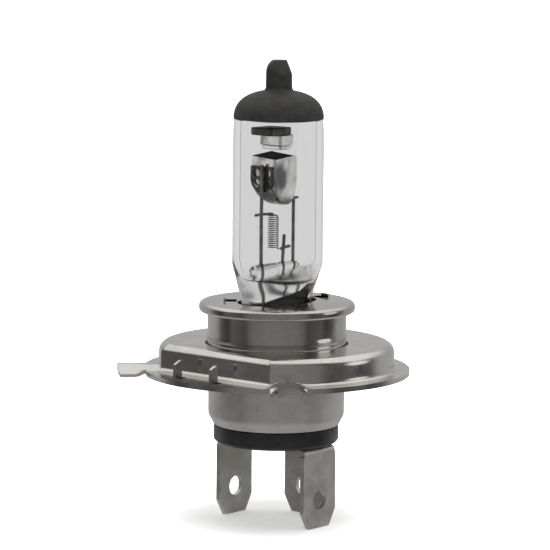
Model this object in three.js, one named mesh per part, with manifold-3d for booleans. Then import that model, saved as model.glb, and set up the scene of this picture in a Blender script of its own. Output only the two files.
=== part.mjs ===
// Two-filament halogen headlight bulb on a three-lug prefocus cap.
// Millimetres. +Z runs along the bulb's axis towards the glass tip and +Y towards the wide lug.
// The origin is on the axis, in the front face of the cap's rim.
import * as THREE from 'three';
import { mergeVertices } from 'three/addons/utils/BufferGeometryUtils.js';
import Module from 'manifold-3d';

const wasm = await Module();
wasm.setup();

// Prefocus ring: rim, raised dome with one flat side, and locating lugs.
const RIM_RADIUS = 21.5;
const RING_SHEET = 0.8;
const DOME_RADIUS = 19;
const DOME_TOP = 4.2;
const DOME_EDGE = 1.5;
const DOME_FOOT = 0.8;
const FLAT_DISTANCE = 15.2;
const RING_HOLE_RADIUS = 11.5;
const LUG_REACH = 25.7;
const LUG_WIDTH = 5.8;
const WIDE_LUG_WIDTH = 8;
const LUG_RISE = 0.8;
const NARROW_LUG_ANGLES = [-135, -45];
const WIDE_LUG_ANGLE = 90;
const TAB_DISTANCE = 18.3;
const TAB_OFFSETS = [-5.1, 2.4];

// Sleeve and top plate that carry the glass, and the clip that grips its pinch.
const SLEEVE_RADIUS = 11.2;
const SLEEVE_SHEET = 0.6;
const SLEEVE_TOP = 9.9;
const SLEEVE_BOTTOM = -0.6;
const PLATE_RADIUS = 12.6;
const PLATE_TOP = 10.8;
const PLATE_SHEET = 0.6;
const PLATE_LIP_BOTTOM = 9.2;
const PLATE_OPENING = [7.4, 5.2];
const PLATE_WINDOWS = [{ angle: 76, near: 7.7 }, { angle: 220, near: 6.5 }];
const PLATE_WINDOW_LENGTH = 1.8;
const PLATE_WINDOW_WIDTH = 2.6;
const TONGUE_RISE = 0.6;
const CLIP_SHEET = 0.5;
const CLIP_GAP = 0.15;
const CLIP_BOTTOM = 4;
const CLIP_FLANGE = 2;
const CLIP_LEAF_TOP = 13.9;

// Base shell and insulator below the rim.
const SHELL_RADIUS = 11;
const SHELL_SHEET = 0.6;
const SHELL_BOTTOM = -9;
const NECK_RADIUS = 10.3;
const INSULATOR_RADIUS = 10.1;
const INSULATOR_BOTTOM = -12;
const INSULATOR_CHAMFER = 0.4;
const SPIGOT_RADIUS = 9.3;
const SPIGOT_TOP = -6.5;

// Three flat terminals.
const BLADE_WIDTH = 8;
const BLADE_SHEET = 0.8;
const BLADE_TIP = -25.1;
const BLADE_TIP_WIDTH = 4.9;
const BLADE_TIP_TAPER = 2.7;
const BLADE_HOLE_RADIUS = 1.6;
const BLADE_HOLE_ABOVE_TIP = 4.5;
const SIDE_BLADE_DISTANCE = 8.85;
const TOP_BLADE_DISTANCE = 7.5;
const FOOT_TOP = -12.15;
const FOOT_LENGTH = 4;
const FOOT_WIDTH = 7.6;

// Glass bulb: a round tube pressed flat at its foot, with a black dome and tip.
const GLASS_RADIUS = 7.3;
const GLASS_WALL = 1.25;
const TAPER_TOP = 17.3;
const CAVITY_FLOOR = 14.4;
const COATING_EDGE = 40.2;
const COATING_RADIUS = 7.25;
const COATING_SHEET = 0.15;
const COATING_GAP = 0.1;
const DOME_RISE = 4.7;
const DOME_POWER = 1 / 1.2;
const TIP_RADIUS = 2.1;
const TIP_TOP = 49.6;
const EXHAUST_BORE_RADIUS = 0.9;

// Pinch seal, which lies along one direction across the axis, and its three leads' places along it.
const PINCH_ANGLE = 86;
const PINCH_HALF_WIDTH = 7.2;
const PINCH_HALF_THICKNESS = 1.75;
const PINCH_TOP = 10.6;
const PINCH_BOTTOM = -1;
const LEADS = { common: -3.7, high_beam: 0.5, low_beam: 3.65 };
const HIGH_BEAM_LEAN = 0.083;
const FOIL_WIDTH = 2.2;
const FOIL_THICKNESS = 0.1;
const FOIL_BOTTOM = 3;
const FOIL_TOP = 9;
const FOIL_SLOT_GAP = 0.15;

// Wires, filaments and bridge inside the glass.
const WIRE_RADIUS = 0.28;
const WIRE_BORE_RADIUS = 0.42;
const OUTER_WIRE_RADIUS = 0.35;
const COIL_WIRE_RADIUS = 0.1;
const COIL_TURNS = 17;
const HIGH_BEAM_POST_TOP = 21.5;
const BRIDGE_HEIGHT = 15.85;
const BRIDGE_RADIUS = 1.3;
const BRIDGE_ENDS = [-5.6, 4.7];

// Shield cup, its weld plate and the stepped baffle above it.
const SHIELD_HALF_WIDTH = 2.6;
const SHIELD_BACK = -3.75;
const SHIELD_MOUTH = 1.5;
const SHIELD_BOTTOM = 26.3;
const SHIELD_TOP = 34.7;
const SHIELD_SHEET = 0.25;
const SHIELD_CORNER = 0.6;
const SHIELD_LID = 34.1;
const SHIELD_HEEL = 3.2;
const SHIELD_TOE = 2.4;
const WELD_PLATE_HALF_WIDTH = 2.3;
const WELD_PLATE_BOTTOM = 28.6;
const WELD_PLATE_TOP = 32.9;
const WELD_PLATE_SHEET = 0.25;
const WELD_HOLE_RADIUS = 0.65;
const WELD_HOLE_OFFSET = 1.12;
const WELD_HOLE_HEIGHTS = [30.15, 31.8];
const BAFFLE_HALF_WIDTH = 2.3;
const BAFFLE_BOTTOM = 36.1;
const BAFFLE_STEP = 37.8;
const BAFFLE_TOP = 39;

const ROUND_SEGMENTS = 36;
const FINE_SEGMENTS = 48;
const GLASS_SEGMENTS = 30;
const WIRE_SIDES = 8;

const colours = {
  glass: { color: 0xe6e9e8, roughness: 0.05, metalness: 0, transparent: true, opacity: 0.35 },
  coating: { color: 0x3c3c39, roughness: 0.8, metalness: 0 },
  tungsten: { color: 0x5a5a5c, roughness: 0.5, metalness: 1 },
  molybdenum: { color: 0x8f8f8c, roughness: 0.4, metalness: 1 },
  plated: { color: 0xb4b3ad, roughness: 0.2, metalness: 1 },
  satin: { color: 0xa19e98, roughness: 0.45, metalness: 1 },
  insulator: { color: 0x1d1d1f, roughness: 0.5, metalness: 0 },
  terminal: { color: 0x98968f, roughness: 0.45, metalness: 1 },
  solder: { color: 0x9a9c9e, roughness: 0.35, metalness: 1 },
};

const bulb = new THREE.Group();

function degrees(angle) {
  return THREE.MathUtils.degToRad(angle);
}

// Points of a circular arc in a profile, from one angle to another in degrees.
function arc(centreX, centreY, radius, from, to, steps = 3) {
  return Array.from({ length: steps + 1 }, (_, i) => {
    const angle = degrees(from + ((to - from) * i) / steps);
    return [centreX + radius * Math.cos(angle), centreY + radius * Math.sin(angle)];
  });
}

// Turns a closed mesh into a solid that can be joined and cut.
function solid(geometry) {
  const bare = geometry.index ? geometry.toNonIndexed() : geometry.clone();
  bare.deleteAttribute('normal');
  bare.deleteAttribute('uv');
  const merged = mergeVertices(bare, 1e-4);
  const index = merged.index.array;
  const triangles = [];
  for (let i = 0; i < index.length; i += 3) {
    const [a, b, c] = [index[i], index[i + 1], index[i + 2]];
    if (a !== b && b !== c && c !== a) triangles.push(a, b, c);
  }
  const vertProperties = new Float32Array(merged.attributes.position.array);
  const triVerts = new Uint32Array(triangles);
  return new wasm.Manifold(new wasm.Mesh({ numProp: 3, vertProperties, triVerts }));
}

// Turns a solid back into a mesh geometry.
function surface(body) {
  const mesh = body.getMesh();
  const geometry = new THREE.BufferGeometry();
  geometry.setAttribute('position', new THREE.BufferAttribute(mesh.vertProperties, 3));
  geometry.setIndex(new THREE.BufferAttribute(mesh.triVerts, 1));
  geometry.computeVertexNormals();
  return geometry;
}

// A solid of revolution about Z from [radius, height] points.
function turned(profile, segments = ROUND_SEGMENTS) {
  const points = profile.map(([radius, height]) => new THREE.Vector2(radius, height));
  return solid(new THREE.LatheGeometry(points, segments).rotateX(Math.PI / 2));
}

// A hollow solid of revolution: its profile closes on itself.
function turnedLoop(profile, segments = ROUND_SEGMENTS) {
  return turned([...profile, profile[0]], segments);
}

function disc(radius, bottom, top, segments = ROUND_SEGMENTS) {
  return turned([[0, bottom], [radius, bottom], [radius, top], [0, top]], segments);
}

function block([x0, x1], [y0, y1], [z0, z1]) {
  const box = new THREE.BoxGeometry(x1 - x0, y1 - y0, z1 - z0);
  return solid(box.translate((x0 + x1) / 2, (y0 + y1) / 2, (z0 + z1) / 2));
}

function outline(points) {
  return new THREE.Shape(points.map(([x, y]) => new THREE.Vector2(x, y)));
}

// An outline drawn across X and Z, extruded along +Y between two distances.
function acrossXZ(shape, near, far) {
  const geometry = new THREE.ExtrudeGeometry(shape, { depth: far - near, bevelEnabled: false });
  return solid(geometry.rotateX(Math.PI / 2).translate(0, far, 0));
}

// An outline drawn across Y and Z, extruded along +X between two distances.
function acrossYZ(shape, near, far) {
  const geometry = new THREE.ExtrudeGeometry(shape, { depth: far - near, bevelEnabled: false });
  return solid(geometry.rotateZ(Math.PI / 2).rotateY(Math.PI / 2).translate(near, 0, 0));
}

// An outline drawn across X and Y, extruded up between two heights.
function acrossXY(shape, bottom, top) {
  const geometry = new THREE.ExtrudeGeometry(shape, { depth: top - bottom, bevelEnabled: false });
  return solid(geometry.translate(0, 0, bottom));
}

// Cosine or sine of a rounded rectangle: a higher power makes it squarer.
function squared(value, power) {
  return Math.sign(value) * Math.abs(value) ** (2 / power);
}

// A solid through rounded sections stacked along Z, closed by a flat cap at each end.
function lofted(sections, segments = GLASS_SEGMENTS) {
  const rings = sections.map(({ height, along, across, power }) => (
    Array.from({ length: segments }, (_, i) => {
      const angle = (2 * Math.PI * i) / segments;
      return [along * squared(Math.cos(angle), power), across * squared(Math.sin(angle), power), height];
    })
  ));
  const lowest = [0, 0, sections[0].height];
  const highest = [0, 0, sections.at(-1).height];
  const corners = [];
  for (let i = 0; i < segments; i += 1) {
    const j = (i + 1) % segments;
    corners.push(lowest, rings[0][j], rings[0][i], highest, rings.at(-1)[i], rings.at(-1)[j]);
    for (let k = 1; k < rings.length; k += 1) {
      const [low, high] = [rings[k - 1], rings[k]];
      corners.push(low[i], low[j], high[j], low[i], high[j], high[i]);
    }
  }
  const geometry = new THREE.BufferGeometry();
  geometry.setAttribute('position', new THREE.Float32BufferAttribute(corners.flat(), 3));
  return solid(geometry);
}

// The tube's section at a height, round above the taper and flat in the pinch, grown by an offset.
function glassSection(height, offset) {
  const roundness = THREE.MathUtils.smoothstep(height, PINCH_TOP, TAPER_TOP);
  return {
    height,
    along: THREE.MathUtils.lerp(PINCH_HALF_WIDTH, GLASS_RADIUS, roundness) + offset,
    across: THREE.MathUtils.lerp(PINCH_HALF_THICKNESS, GLASS_RADIUS, roundness) + offset,
    power: 2 + 3 * (1 - roundness) ** 2,
  };
}

function roundSection([radius, height]) {
  return { height, along: radius, across: radius, power: 2 };
}

function spin(body, angle) {
  return body.rotate([0, 0, angle]);
}

// A round wire along a smooth curve through its points.
function wire(points, radius, steps = 16, sides = WIRE_SIDES) {
  const path = new THREE.CatmullRomCurve3(points.map((point) => new THREE.Vector3(...point)));
  const section = outline(arc(0, 0, radius, 0, 360 * (1 - 1 / sides), sides - 1));
  return solid(new THREE.ExtrudeGeometry(section, { steps, extrudePath: path, bevelEnabled: false }));
}

function add(name, body, colour) {
  const mesh = new THREE.Mesh(surface(body), new THREE.MeshStandardMaterial(colours[colour]));
  mesh.name = name;
  bulb.add(mesh);
}

// A lead's distance from the axis at a height: only the high beam's lead leans.
function leadDistance(name, height) {
  const lean = name === 'high_beam' ? HIGH_BEAM_LEAN : 0;
  return LEADS[name] + lean * (height - FOIL_TOP);
}

// A point on the pinch's centre line, at a distance from the axis.
function alongPinch(distance) {
  return [distance * Math.cos(degrees(PINCH_ANGLE)), distance * Math.sin(degrees(PINCH_ANGLE))];
}

// ---- Prefocus ring ----

function lug(angle, width) {
  const half = width / 2;
  const crown = half * 0.55;
  const under = -RING_SHEET;
  const top = outline([
    [-half, under],
    [half, under],
    [half, 0],
    [crown, LUG_RISE],
    [-crown, LUG_RISE],
    [-half, 0],
  ]);
  return spin(acrossXZ(top, DOME_RADIUS - 0.5, LUG_REACH), angle - 90);
}

function lugChannel(angle, width) {
  const half = width / 2 - RING_SHEET;
  const crown = width * 0.275 - RING_SHEET * 0.6;
  const under = -RING_SHEET;
  const hollow = outline([
    [-half, under - 1],
    [half, under - 1],
    [half, under],
    [crown, 0],
    [-crown, 0],
    [-half, under],
  ]);
  return spin(acrossXZ(hollow, DOME_RADIUS - 2, LUG_REACH + 1), angle - 90);
}

function prefocusRing() {
  const innerRadius = DOME_RADIUS - RING_SHEET;
  const innerEdge = DOME_EDGE - RING_SHEET;
  const outerDome = turned([
    [0, -RING_SHEET / 2],
    [DOME_RADIUS + DOME_FOOT, -RING_SHEET / 2],
    ...arc(DOME_RADIUS + DOME_FOOT, DOME_FOOT, DOME_FOOT, 270, 180),
    ...arc(DOME_RADIUS - DOME_EDGE, DOME_TOP - DOME_EDGE, DOME_EDGE, 0, 90),
    [0, DOME_TOP],
  ], FINE_SEGMENTS);
  const innerDome = turned([
    [0, -2],
    [innerRadius, -2],
    ...arc(innerRadius - innerEdge, DOME_TOP - DOME_EDGE, innerEdge, 0, 90, 3),
    [0, DOME_TOP - RING_SHEET],
  ], FINE_SEGMENTS);
  const beyondFlat = block([-30, 30], [-30, -FLAT_DISTANCE], [-3, 8]);
  const beyondInnerFlat = block([-30, 30], [-30, -FLAT_DISTANCE + RING_SHEET], [-3, 8]);
  const narrowLugs = NARROW_LUG_ANGLES.map((angle) => lug(angle, LUG_WIDTH));
  const narrowChannels = NARROW_LUG_ANGLES.map((angle) => lugChannel(angle, LUG_WIDTH));
  const tabs = TAB_OFFSETS.map((offset) => {
    const side = outline([
      [-TAB_DISTANCE - 0.85, -0.4],
      [-TAB_DISTANCE + 0.85, -0.4],
      [-TAB_DISTANCE + 0.85, 2.1],
      [-TAB_DISTANCE + 0.1, 2.8],
      [-TAB_DISTANCE - 0.85, 2.3],
    ]);
    return acrossYZ(side, offset - 0.28, offset + 0.28);
  });
  const slots = TAB_OFFSETS.map((offset) => block(
    [offset + 0.35, offset + 1.5], [-TAB_DISTANCE - 0.8, -TAB_DISTANCE + 0.8], [-2, 1],
  ));
  let outer = outerDome.subtract(beyondFlat).add(disc(RIM_RADIUS, -RING_SHEET, 0, FINE_SEGMENTS));
  for (const body of [...narrowLugs, lug(WIDE_LUG_ANGLE, WIDE_LUG_WIDTH), ...tabs]) outer = outer.add(body);
  const hollow = innerDome.subtract(beyondInnerFlat);
  let ring = outer.subtract(hollow).subtract(disc(RING_HOLE_RADIUS, -3, 8, FINE_SEGMENTS));
  for (const body of [...narrowChannels, lugChannel(WIDE_LUG_ANGLE, WIDE_LUG_WIDTH), ...slots]) {
    ring = ring.subtract(body);
  }
  return ring;
}

// ---- Sleeve, top plate and pinch clip ----

function upperSleeve() {
  return turnedLoop([
    [SLEEVE_RADIUS, SLEEVE_BOTTOM],
    [SLEEVE_RADIUS, SLEEVE_TOP],
    [SLEEVE_RADIUS - SLEEVE_SHEET, SLEEVE_TOP],
    [SLEEVE_RADIUS - SLEEVE_SHEET, SLEEVE_BOTTOM],
  ]);
}

function topPlate() {
  const edge = 0.6;
  const lipInner = SLEEVE_RADIUS + 0.3;
  const skirt = PLATE_RADIUS - PLATE_SHEET;
  const plate = turned([
    [0, PLATE_TOP - PLATE_SHEET],
    [skirt, PLATE_TOP - PLATE_SHEET],
    [skirt, PLATE_LIP_BOTTOM + 0.4],
    [lipInner, PLATE_LIP_BOTTOM + 0.4],
    [lipInner, PLATE_LIP_BOTTOM],
    ...arc(PLATE_RADIUS - 0.5, PLATE_LIP_BOTTOM + 0.5, 0.5, 270, 360, 3),
    ...arc(PLATE_RADIUS - edge, PLATE_TOP - edge, edge, 0, 90, 3),
    [0, PLATE_TOP],
  ]);
  const [openingX, openingY] = PLATE_OPENING;
  const opening = disc(1, PLATE_LIP_BOTTOM, PLATE_TOP + 1).scale([openingX, openingY, 1]);
  let cut = plate.subtract(spin(opening, PINCH_ANGLE));
  const half = PLATE_WINDOW_WIDTH / 2;
  for (const { angle, near } of PLATE_WINDOWS) {
    const far = near + PLATE_WINDOW_LENGTH;
    const window = block([near, far], [-half, half], [PLATE_TOP - PLATE_SHEET - 0.2, PLATE_TOP + 1]);
    const tongue = block(
      [far, far + 0.3],
      [-half + 0.3, half - 0.3],
      [PLATE_TOP - 0.3, PLATE_TOP + TONGUE_RISE],
    );
    cut = cut.subtract(spin(window, angle)).add(spin(tongue, angle));
  }
  return cut;
}

// A collar round the pinch below the plate, and two leaves that lie on the glass above it.
function pinchClip() {
  const innerX = PINCH_HALF_WIDTH + CLIP_GAP;
  const innerY = PINCH_HALF_THICKNESS + CLIP_GAP;
  const outerX = innerX + CLIP_SHEET;
  const outerY = innerY + CLIP_SHEET;
  const top = PLATE_TOP - PLATE_SHEET - 0.1;
  const collar = block([-outerX, outerX], [-outerY, outerY], [CLIP_BOTTOM, top]);
  const flange = block(
    [-outerX - 0.4, outerX + 0.4],
    [-outerY - CLIP_FLANGE, outerY + CLIP_FLANGE],
    [top - CLIP_SHEET, top],
  );
  const opening = block([-innerX, innerX], [-innerY, innerY], [CLIP_BOTTOM - 1, top + 1]);
  const heights = [top - 1, PINCH_TOP, 11.5, 12.3, 13.1, 13.9, 14.7];
  const skin = lofted(heights.map((height) => glassSection(height, CLIP_GAP + CLIP_SHEET)));
  const glass = lofted([top - 2, ...heights, 15.5].map((height) => glassSection(height, CLIP_GAP)));
  const nearSide = outline([
    [-5.5, top - 0.6],
    [-5.5, 11.1],
    [2, 12.6],
    [2.4, CLIP_LEAF_TOP],
    [3.6, CLIP_LEAF_TOP],
    [4.4, 12.4],
    [4.6, top - 0.6],
  ]);
  const farSide = outline([[-4.5, top - 0.6], [-4.5, 11], [4.5, 11.6], [4.5, top - 0.6]]);
  const leaves = skin.subtract(glass);
  const clip = collar.add(flange).subtract(opening)
    .add(leaves.intersect(acrossXZ(nearSide, -9, 0)))
    .add(leaves.intersect(acrossXZ(farSide, 0, 9)));
  return spin(clip, PINCH_ANGLE);
}

// ---- Base shell, insulator, terminals ----

function baseShell() {
  const inner = SHELL_RADIUS - SHELL_SHEET;
  return turnedLoop([
    [10.15, SHELL_BOTTOM],
    [10.55, SHELL_BOTTOM + 0.4],
    [10.88, SHELL_BOTTOM + 1.1],
    [SHELL_RADIUS, SHELL_BOTTOM + 1.8],
    [SHELL_RADIUS, -1.5],
    [SHELL_RADIUS - 0.3, -1.1],
    [NECK_RADIUS, -0.9],
    [NECK_RADIUS, 3],
    [NECK_RADIUS - SHELL_SHEET, 3],
    [NECK_RADIUS - SHELL_SHEET, -1.5],
    [inner, -2.1],
    [inner, SHELL_BOTTOM + 1.8],
    [inner - 0.25, SHELL_BOTTOM + 1],
    [9.6, SHELL_BOTTOM],
  ]);
}

function insulatorDisc(wireHoles) {
  const body = turned([
    [0, INSULATOR_BOTTOM],
    [INSULATOR_RADIUS - INSULATOR_CHAMFER, INSULATOR_BOTTOM],
    [INSULATOR_RADIUS, INSULATOR_BOTTOM + INSULATOR_CHAMFER],
    [INSULATOR_RADIUS, SHELL_BOTTOM - 0.1],
    [SPIGOT_RADIUS, SHELL_BOTTOM - 0.1],
    [SPIGOT_RADIUS, SPIGOT_TOP],
    [0, SPIGOT_TOP],
  ]);
  return wireHoles.reduce((rest, [x, y]) => {
    const hole = disc(OUTER_WIRE_RADIUS + 0.35, INSULATOR_BOTTOM - 1, SPIGOT_TOP + 1, 12);
    return rest.subtract(hole.translate([x, y, 0]));
  }, body);
}

// A terminal that stands across +X at a distance from the axis, with its foot turned inwards.
function terminal(distance, angle) {
  const half = BLADE_WIDTH / 2;
  const tipHalf = BLADE_TIP_WIDTH / 2;
  const footBottom = FOOT_TOP - BLADE_SHEET;
  const face = outline([
    [-half, footBottom],
    [-half, BLADE_TIP + BLADE_TIP_TAPER],
    [-tipHalf, BLADE_TIP],
    [tipHalf, BLADE_TIP],
    [half, BLADE_TIP + BLADE_TIP_TAPER],
    [half, footBottom],
    [FOOT_WIDTH / 2, FOOT_TOP],
    [-FOOT_WIDTH / 2, FOOT_TOP],
  ]);
  const hole = arc(0, BLADE_TIP + BLADE_HOLE_ABOVE_TIP, BLADE_HOLE_RADIUS, 0, 337.5, 15);
  face.holes.push(new THREE.Path(hole.map(([x, y]) => new THREE.Vector2(x, y))));
  const outerFace = distance + BLADE_SHEET / 2;
  const blade = acrossYZ(face, outerFace - BLADE_SHEET, outerFace);
  const foot = block(
    [outerFace - FOOT_LENGTH, outerFace - 0.1], [-FOOT_WIDTH / 2, FOOT_WIDTH / 2], [footBottom, FOOT_TOP],
  );
  const wireHole = disc(OUTER_WIRE_RADIUS + 0.1, footBottom - 1, FOOT_TOP + 1, 12);
  const solderX = outerFace - FOOT_LENGTH + 1.6;
  return spin(blade.add(foot).subtract(wireHole.translate([solderX, 0, 0])), angle);
}

function footWirePoint(distance, angle) {
  const reach = distance + BLADE_SHEET / 2 - FOOT_LENGTH + 1.6;
  return [reach * Math.cos(degrees(angle)), reach * Math.sin(degrees(angle))];
}

function solderJoint([x, y]) {
  const footBottom = FOOT_TOP - BLADE_SHEET;
  const bead = turned([
    [0, footBottom - 0.7],
    [0.6, footBottom - 0.6],
    [1.0, footBottom - 0.3],
    [1.15, footBottom - 0.05],
    [0, footBottom - 0.05],
  ], 16);
  return bead.translate([x, y, 0]);
}

// ---- Glass ----

// The black tip's outer outline above its edge, drawn in by an offset.
function tipOutline(offset) {
  const radius = COATING_RADIUS - offset;
  const rise = DOME_RISE - offset;
  const tip = TIP_RADIUS - offset;
  const meet = Math.acos((tip / radius) ** (1 / DOME_POWER));
  const steps = 7;
  const dome = Array.from({ length: steps + 1 }, (_, i) => {
    const angle = (meet * i) / steps;
    return [radius * Math.cos(angle) ** DOME_POWER, COATING_EDGE + rise * Math.sin(angle) ** DOME_POWER];
  });
  return [
    ...dome,
    [tip - 0.1, COATING_EDGE + rise + 0.9],
    [tip - 0.1, TIP_TOP - offset - 0.6],
    [tip - 0.6, TIP_TOP - offset],
  ];
}

function tipCoating() {
  const outer = lofted(tipOutline(0).map(roundSection));
  const inner = lofted([
    [COATING_RADIUS - COATING_SHEET, COATING_EDGE - 1],
    ...tipOutline(COATING_SHEET),
  ].map(roundSection));
  return spin(outer.subtract(inner), PINCH_ANGLE);
}

function glassEnvelope() {
  const taper = [PINCH_BOTTOM, PINCH_TOP, 11.4, 12.2, 13, 13.8, 14.6, 15.4, 16.3, TAPER_TOP];
  const outer = lofted([
    ...taper.map((height) => glassSection(height, 0)),
    roundSection([GLASS_RADIUS, COATING_EDGE - 0.1]),
    ...tipOutline(COATING_SHEET + COATING_GAP).map(roundSection),
  ]);
  const innerRadius = GLASS_RADIUS - GLASS_WALL;
  const innerDome = Array.from({ length: 6 }, (_, i) => {
    const angle = degrees(i * 16.2);
    return roundSection([innerRadius * Math.cos(angle), COATING_EDGE - 0.6 + 3.9 * Math.sin(angle)]);
  });
  const innerTaper = [CAVITY_FLOOR, 15, 15.8, 16.8, TAPER_TOP + 0.5].map((height) => (
    { ...glassSection(height - 0.5, -GLASS_WALL), height }
  ));
  const cavity = lofted([...innerTaper, ...innerDome, roundSection([EXHAUST_BORE_RADIUS, TIP_TOP + 1])]);
  let glass = outer.subtract(cavity);
  for (const [name, distance] of Object.entries(LEADS)) {
    const ends = [FOIL_TOP, CAVITY_FLOOR + 1].map((height) => [leadDistance(name, height), 0, height]);
    const bore = wire(ends, WIRE_BORE_RADIUS, 1, 12);
    const lowerBore = disc(OUTER_WIRE_RADIUS + 0.15, PINCH_BOTTOM - 1, FOIL_BOTTOM + 0.2, 12);
    const slot = block(
      [distance - FOIL_WIDTH / 2 - FOIL_SLOT_GAP, distance + FOIL_WIDTH / 2 + FOIL_SLOT_GAP],
      [-FOIL_THICKNESS / 2 - FOIL_SLOT_GAP, FOIL_THICKNESS / 2 + FOIL_SLOT_GAP],
      [PINCH_BOTTOM - 1, FOIL_TOP + 0.2],
    );
    glass = glass.subtract(bore.add(lowerBore.translate([distance, 0, 0])).add(slot));
  }
  return spin(glass, PINCH_ANGLE);
}

function foil(distance) {
  const strip = block(
    [distance - FOIL_WIDTH / 2, distance + FOIL_WIDTH / 2],
    [-FOIL_THICKNESS / 2, FOIL_THICKNESS / 2],
    [FOIL_BOTTOM, FOIL_TOP],
  );
  return spin(strip, PINCH_ANGLE);
}

// ---- Shield, filaments and wires ----

// The cup's outside, or its inside when drawn in by the sheet. It is open towards +Y and ends like a spoon.
function shieldHull(offset, top) {
  const half = SHIELD_HALF_WIDTH - offset;
  const back = SHIELD_BACK + offset;
  const bottom = SHIELD_BOTTOM + offset;
  const corner = SHIELD_CORNER - offset;
  const heel = SHIELD_HEEL - offset;
  const mouth = SHIELD_MOUTH + 4 * offset;
  const plan = outline([
    [half, mouth],
    [-half, mouth],
    ...arc(-half + corner, back + corner, corner, 180, 270, 4),
    ...arc(half - corner, back + corner, corner, 270, 360, 4),
  ]);
  const side = outline([
    [mouth, bottom],
    [mouth, top],
    [back, top],
    ...arc(back + heel, bottom + heel, heel, 180, 270, 5),
  ]);
  const toe = arc(0, 0, 1, 180, 360, 10).map(([x, z]) => [half * x, bottom + SHIELD_TOE * (1 + z)]);
  const front = outline([[half, top], [-half, top], ...toe]);
  return acrossXY(plan, bottom, top)
    .intersect(acrossYZ(side, -half - 1, half + 1))
    .intersect(acrossXZ(front, back - 1, mouth + 1));
}

function lowBeamShield() {
  return shieldHull(0, SHIELD_TOP).subtract(shieldHull(SHIELD_SHEET, SHIELD_LID));
}

// A stepped cap pressed from sheet, open below, with a tongue that is welded to the cup's lid.
function shieldBaffle() {
  const half = BAFFLE_HALF_WIDTH;
  const inner = half - SHIELD_SHEET;
  const brim = block([-half, half], [-4.4, 0.8], [BAFFLE_STEP, BAFFLE_TOP]);
  const collar = block([-half, half], [-2.2, 1.3], [BAFFLE_BOTTOM, BAFFLE_STEP + 0.1]);
  const under = BAFFLE_TOP - SHIELD_SHEET;
  const brimHollow = block([-inner, inner], [-4.15, 0.55], [BAFFLE_STEP + SHIELD_SHEET, under]);
  const collarHollow = block([-inner, inner], [-1.95, 0.55], [BAFFLE_BOTTOM - 1, under]);
  const tongue = block([-half, -inner], [-0.6, 0.4], [SHIELD_TOP + 0.05, BAFFLE_BOTTOM + 0.5]);
  return brim.add(collar).subtract(brimHollow).subtract(collarHollow).add(tongue);
}

function weldPlate() {
  const half = WELD_PLATE_HALF_WIDTH;
  const inner = SHIELD_BACK - 0.05;
  let plate = acrossXZ(outline([
    [half, WELD_PLATE_TOP],
    [-half, WELD_PLATE_TOP],
    ...arc(0, WELD_PLATE_BOTTOM + half, half, 180, 360, 8),
  ]), inner - WELD_PLATE_SHEET, inner);
  for (const x of [-WELD_HOLE_OFFSET, WELD_HOLE_OFFSET]) {
    for (const z of WELD_HOLE_HEIGHTS) {
      const hole = outline(arc(x, z, WELD_HOLE_RADIUS, 0, 330, 11));
      plate = plate.subtract(acrossXZ(hole, inner - 1, inner + 1));
    }
  }
  return plate;
}

function bridge(wirePoints) {
  const rod = disc(BRIDGE_RADIUS, ...BRIDGE_ENDS, 20).rotate([0, 90, 0]);
  return wirePoints.reduce((rest, [x, y]) => {
    const hole = disc(WIRE_BORE_RADIUS, BRIDGE_HEIGHT - 3, BRIDGE_HEIGHT + 3, 10).translate([x, y, 0]);
    return rest.subtract(hole);
  }, spin(rod, PINCH_ANGLE).translate([0, 0, BRIDGE_HEIGHT]));
}

// A coil about a vertical axis with a lead at each end.
function filament([x, y], radius, bottom, top, bottomLead, topLead) {
  const perTurn = 6;
  const count = COIL_TURNS * perTurn;
  const coil = Array.from({ length: count + 1 }, (_, i) => {
    const angle = (2 * Math.PI * i) / perTurn;
    const height = bottom + ((top - bottom) * i) / count;
    return [x + radius * Math.cos(angle), y + radius * Math.sin(angle), height];
  });
  return wire([...bottomLead, ...coil, ...topLead], COIL_WIRE_RADIUS, count + 20, 4);
}

// ---- Assembly ----

const terminals = [
  { name: 'high_beam', distance: SIDE_BLADE_DISTANCE, angle: 0 },
  { name: 'common', distance: SIDE_BLADE_DISTANCE, angle: 180 },
  { name: 'low_beam', distance: TOP_BLADE_DISTANCE, angle: 90 },
];
const wireEnds = Object.fromEntries(
  terminals.map(({ name, distance, angle }) => [name, footWirePoint(distance, angle)]),
);

add('prefocus_ring', prefocusRing(), 'plated');
add('upper_sleeve', upperSleeve(), 'plated');
add('top_plate', topPlate(), 'plated');
add('pinch_clip', pinchClip(), 'satin');
add('base_shell', baseShell(), 'satin');
add('insulator_disc', insulatorDisc(Object.values(wireEnds)), 'insulator');
for (const { name, distance, angle } of terminals) {
  add(`${name}_terminal`, terminal(distance, angle), 'terminal');
  add(`${name}_solder_joint`, solderJoint(wireEnds[name]), 'solder');
}

add('glass_envelope', glassEnvelope(), 'glass');
add('tip_coating', tipCoating(), 'coating');

for (const [name, distance] of Object.entries(LEADS)) {
  const [x, y] = alongPinch(distance);
  const [endX, endY] = wireEnds[name];
  add(`${name}_foil`, foil(distance), 'molybdenum');
  add(`${name}_outer_lead`, wire([
    [x, y, FOIL_BOTTOM - 0.1],
    [x, y, PINCH_BOTTOM + 1],
    [x, y, PINCH_BOTTOM - 0.4],
    [x * 0.5 + endX * 0.5, y * 0.5 + endY * 0.5, -3.4],
    [endX, endY, SPIGOT_TOP + 1.5],
    [endX, endY, SPIGOT_TOP],
    [endX, endY, -9.5],
    [endX, endY, FOOT_TOP - BLADE_SHEET],
  ], OUTER_WIRE_RADIUS, 24), 'molybdenum');
}

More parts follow.
